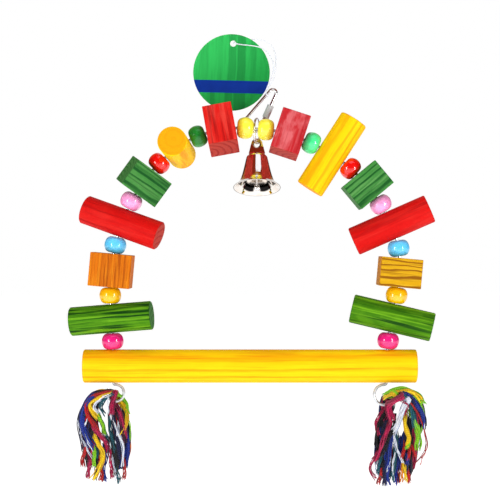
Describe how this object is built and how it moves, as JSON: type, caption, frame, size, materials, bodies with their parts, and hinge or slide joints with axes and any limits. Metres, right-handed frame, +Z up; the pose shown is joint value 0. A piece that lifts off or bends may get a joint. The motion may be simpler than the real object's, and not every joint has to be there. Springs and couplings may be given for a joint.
{
  "type": "hanging bird swing",
  "caption": "Hanging bird swing: beads, cross-drilled dowels and blocks on a wire arch over a round wooden perch, with a bell, a round tag, a quick link and yarn tassels.",
  "frame": {"origin": "the highest inside point of the quick link, where a hook takes the swing", "axes": "+X along the perch to the right, +Y away from the front, where the tag hangs, +Z up"},
  "size_m": [0.2804, 0.0649, 0.3461],
  "materials": {
    "nickel": "polished",
    "bell_metal": "polished",
    "thread": "matte",
    "card": "satin print",
    "wood_yellow": "stained",
    "wood_red": "stained",
    "wood_green": "stained",
    "wood_amber": "stained",
    "yarn": "matte, many colours",
    "bead_yellow": "glossy",
    "bead_green": "glossy",
    "bead_mint": "glossy",
    "bead_red": "glossy",
    "bead_pink": "glossy",
    "bead_blue": "glossy",
    "bead_amber": "glossy",
    "bead_magenta": "glossy"
  },
  "bodies": {
    "quick_link": {"link_rod": "nickel", "tag_loop": "thread"},
    "sleeve": {"link_sleeve": "nickel"},
    "tag": {"hang_tag": "card"},
    "ring": {"hanger_ring": "nickel"},
    "arch": {"arch_wire": "nickel", "perch": "wood_yellow"},
    "bell": {"bell_shell": "bell_metal"},
    "clapper": {"clapper": "bell_metal"},
    "tassel_left": {"tassel_left": "yarn"},
    "tassel_right": {"tassel_right": "yarn"},
    "bead_left_yellow": {"bead_left_yellow": "bead_yellow"},
    "block_left_red": {"block_left_red": "wood_red"},
    "bead_left_green": {"bead_left_green": "bead_green"},
    "dowel_left_yellow": {"dowel_left_yellow": "wood_yellow"},
    "bead_left_red": {"bead_left_red": "bead_red"},
    "block_left_green": {"block_left_green": "wood_green"},
    "bead_left_pink": {"bead_left_pink": "bead_pink"},
    "dowel_left_red": {"dowel_left_red": "wood_red"},
    "bead_left_blue": {"bead_left_blue": "bead_blue"},
    "block_left_amber": {"block_left_amber": "wood_amber"},
    "bead_left_amber": {"bead_left_amber": "bead_amber"},
    "dowel_left_green": {"dowel_left_green": "wood_green"},
    "bead_left_magenta": {"bead_left_magenta": "bead_magenta"},
    "bead_right_yellow": {"bead_right_yellow": "bead_yellow"},
    "block_right_red": {"block_right_red": "wood_red"},
    "bead_right_mint": {"bead_right_mint": "bead_mint"},
    "dowel_right_yellow": {"dowel_right_yellow": "wood_yellow"},
    "bead_right_red": {"bead_right_red": "bead_red"},
    "block_right_green": {"block_right_green": "wood_green"},
    "bead_right_pink": {"bead_right_pink": "bead_pink"},
    "dowel_right_red": {"dowel_right_red": "wood_red"},
    "bead_right_blue": {"bead_right_blue": "bead_blue"},
    "block_right_amber": {"block_right_amber": "wood_amber"},
    "bead_right_amber": {"bead_right_amber": "bead_amber"},
    "dowel_right_green": {"dowel_right_green": "wood_green"},
    "bead_right_magenta": {"bead_right_magenta": "bead_magenta"}
  },
  "joints": [
    {"name": "ring_swing", "type": "hinge", "parent": "quick_link", "child": "ring", "pos_m": [-0.01496, 0, -0.02512], "axis": [0, 1, 0], "range_deg": [-10, 10]},
    {"name": "arch_swing", "type": "hinge", "parent": "ring", "child": "arch", "pos_m": [-0.01335, -0.01045, -0.03041], "axis": [1, 0, 0], "range_deg": [-45, 45]},
    {"name": "bell_swing", "type": "hinge", "parent": "ring", "child": "bell", "pos_m": [-0.0123, -0.00522, -0.04141], "axis": [1, 0, 0], "range_deg": [-7, 35]},
    {"name": "clapper_swing", "type": "hinge", "parent": "bell", "child": "clapper", "pos_m": [-0.0123, -0.00947, -0.05402], "axis": [1, 0, 0], "range_deg": [-43, 6]},
    {"name": "tag_flap", "type": "hinge", "parent": "quick_link", "child": "tag", "pos_m": [-0.03071, 0.01197, 0.03835], "axis": [1, 0, 0], "range_deg": [0, 45]},
    {"name": "sleeve_travel", "type": "slide", "parent": "quick_link", "child": "sleeve", "axis": [0.4048, 0, 0.9144], "range_m": [0, 0.0085]},
    {"name": "tassel_left_swing", "type": "hinge", "parent": "arch", "child": "tassel_left", "pos_m": [-0.12037, -0.01045, -0.23871], "axis": [1, 0, 0], "range_deg": [-3, 30]},
    {"name": "tassel_right_swing", "type": "hinge", "parent": "arch", "child": "tassel_right", "pos_m": [0.08513, -0.01045, -0.24151], "axis": [1, 0, 0], "range_deg": [-3, 30]},
    {"name": "dowel_left_yellow_spin", "type": "hinge", "parent": "arch", "child": "dowel_left_yellow", "pos_m": [-0.07338, -0.01045, -0.04513], "axis": [0.8106, 0, 0.5856], "continuous": true},
    {"name": "dowel_left_red_spin", "type": "hinge", "parent": "arch", "child": "dowel_left_red", "pos_m": [-0.1156, -0.01045, -0.1021], "axis": [0.3364, 0, 0.9417], "continuous": true},
    {"name": "dowel_left_green_spin", "type": "hinge", "parent": "arch", "child": "dowel_left_green", "pos_m": [-0.12368, -0.01045, -0.17536], "axis": [-0.0844, 0, 0.9964], "continuous": true},
    {"name": "dowel_right_yellow_spin", "type": "hinge", "parent": "arch", "child": "dowel_right_yellow", "pos_m": [0.04494, -0.01045, -0.04985], "axis": [-0.8419, 0, 0.5396], "continuous": true},
    {"name": "dowel_right_red_spin", "type": "hinge", "parent": "arch", "child": "dowel_right_red", "pos_m": [0.09072, -0.01045, -0.10397], "axis": [-0.4042, 0, 0.9147], "continuous": true},
    {"name": "dowel_right_green_spin", "type": "hinge", "parent": "arch", "child": "dowel_right_green", "pos_m": [0.09108, -0.01045, -0.17486], "axis": [0.2276, 0, 0.9737], "continuous": true},
    {"name": "block_left_red_spin", "type": "hinge", "parent": "arch", "child": "block_left_red", "pos_m": [-0.03982, -0.01045, -0.03084], "axis": [0.9838, 0, 0.1795], "continuous": true},
    {"name": "block_left_green_spin", "type": "hinge", "parent": "arch", "child": "block_left_green", "pos_m": [-0.09884, -0.01045, -0.07047], "axis": [0.59, 0, 0.8074], "continuous": true},
    {"name": "block_left_amber_spin", "type": "hinge", "parent": "arch", "child": "block_left_amber", "pos_m": [-0.1235, -0.01045, -0.13849], "axis": [0.0899, 0, 0.996], "continuous": true},
    {"name": "block_right_red_spin", "type": "hinge", "parent": "arch", "child": "block_right_red", "pos_m": [0.01274, -0.01045, -0.03457], "axis": [-0.9502, 0, 0.3116], "continuous": true},
    {"name": "block_right_green_spin", "type": "hinge", "parent": "arch", "child": "block_right_green", "pos_m": [0.07184, -0.01045, -0.07359], "axis": [-0.6407, 0, 0.7678], "continuous": true},
    {"name": "block_right_amber_spin", "type": "hinge", "parent": "arch", "child": "block_right_amber", "pos_m": [0.09667, -0.01045, -0.14021], "axis": [0.0899, 0, 0.996], "continuous": true},
    {"name": "bead_left_yellow_spin", "type": "hinge", "parent": "arch", "child": "bead_left_yellow", "pos_m": [-0.02128, -0.01045, -0.02983], "axis": [0.9974, 0, -0.0725], "continuous": true},
    {"name": "bead_left_green_spin", "type": "hinge", "parent": "arch", "child": "bead_left_green", "pos_m": [-0.05745, -0.01045, -0.03613], "axis": [0.9199, 0, 0.3922], "continuous": true},
    {"name": "bead_left_red_spin", "type": "hinge", "parent": "arch", "child": "bead_left_red", "pos_m": [-0.08707, -0.01045, -0.05676], "axis": [0.709, 0, 0.7052], "continuous": true},
    {"name": "bead_left_pink_spin", "type": "hinge", "parent": "arch", "child": "bead_left_pink", "pos_m": [-0.10839, -0.01045, -0.08572], "axis": [0.468, 0, 0.8837], "continuous": true},
    {"name": "bead_left_blue_spin", "type": "hinge", "parent": "arch", "child": "bead_left_blue", "pos_m": [-0.12052, -0.01045, -0.11921], "axis": [0.2149, 0, 0.9766], "continuous": true},
    {"name": "bead_left_amber_spin", "type": "hinge", "parent": "arch", "child": "bead_left_amber", "pos_m": [-0.1244, -0.01045, -0.15777], "axis": [0.0027, 0, 1], "continuous": true},
    {"name": "bead_left_magenta_spin", "type": "hinge", "parent": "arch", "child": "bead_left_magenta", "pos_m": [-0.12258, -0.01045, -0.1927], "axis": [-0.0422, 0, 0.9991], "continuous": true},
    {"name": "bead_right_yellow_spin", "type": "hinge", "parent": "arch", "child": "bead_right_yellow", "pos_m": [-0.00543, -0.01045, -0.03099], "axis": [-0.9974, 0, 0.0725], "continuous": true},
    {"name": "bead_right_mint_spin", "type": "hinge", "parent": "arch", "child": "bead_right_mint", "pos_m": [0.02937, -0.01045, -0.04121], "axis": [-0.9033, 0, 0.429], "continuous": true},
    {"name": "bead_right_red_spin", "type": "hinge", "parent": "arch", "child": "bead_right_red", "pos_m": [0.05926, -0.01045, -0.06066], "axis": [-0.75, 0, 0.6614], "continuous": true},
    {"name": "bead_right_pink_spin", "type": "hinge", "parent": "arch", "child": "bead_right_pink", "pos_m": [0.08237, -0.01045, -0.08816], "axis": [-0.5276, 0, 0.8495], "continuous": true},
    {"name": "bead_right_blue_spin", "type": "hinge", "parent": "arch", "child": "bead_right_blue", "pos_m": [0.09599, -0.01045, -0.12166], "axis": [-0.1623, 0, 0.9867], "continuous": true},
    {"name": "bead_right_amber_spin", "type": "hinge", "parent": "arch", "child": "bead_right_amber", "pos_m": [0.09447, -0.01045, -0.15768], "axis": [0.1591, 0, 0.9873], "continuous": true},
    {"name": "bead_right_magenta_spin", "type": "hinge", "parent": "arch", "child": "bead_right_magenta", "pos_m": [0.08804, -0.01045, -0.19235], "axis": [0.1146, 0, 0.9934], "continuous": true}
  ]
}
